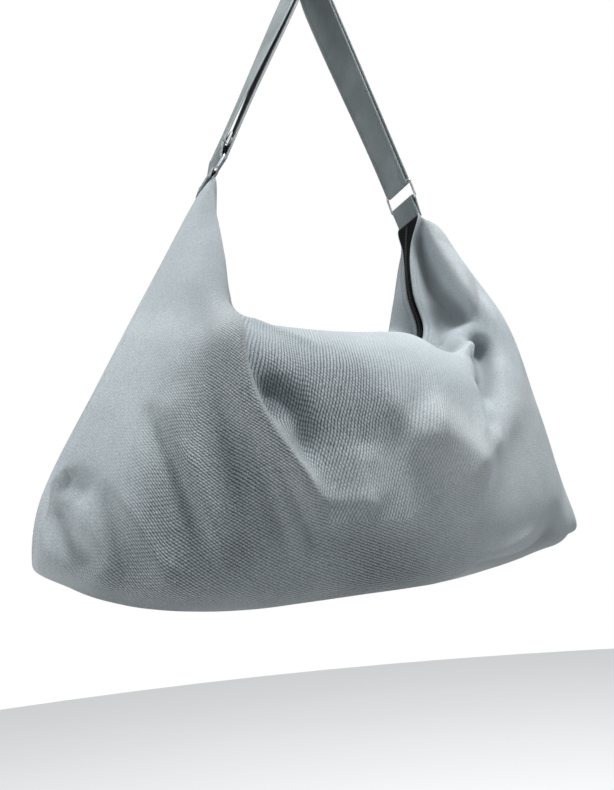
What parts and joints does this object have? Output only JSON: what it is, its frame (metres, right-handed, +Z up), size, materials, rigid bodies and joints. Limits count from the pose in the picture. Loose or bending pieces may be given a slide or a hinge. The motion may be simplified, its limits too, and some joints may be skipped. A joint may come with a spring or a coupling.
{
  "type": "canvas crossbody bag",
  "caption": "Soft slouching canvas hobo bag with a zipped curved mouth between two peaks, hung by a doubled webbing strap on wire rings with a flat slider.",
  "frame": {"origin": "the hang point, on the underside of the doubled strap at the top of its bend", "axes": "+Z up, +X along the bag's long side towards the ring without a slider, -Y the front"},
  "size_m": [0.551, 0.2245, 0.7021],
  "materials": {
    "canvas": "pale blue-grey cotton twill canvas, matt",
    "strap_cloth": "the same twill folded to a flat strap, matt",
    "zip_cloth": "black woven zip tape with closed black coil",
    "steel": "bright nickel-plated wire"
  },
  "bodies": {
    "root": {"bag_body": "canvas", "zip_tape": "zip_cloth", "zip_pull": "steel", "strap": "strap_cloth", "strap_slider": "steel", "tab_left": "strap_cloth", "tab_right": "strap_cloth", "ring_left": "steel", "ring_right": "steel"}
  },
  "joints": []
}
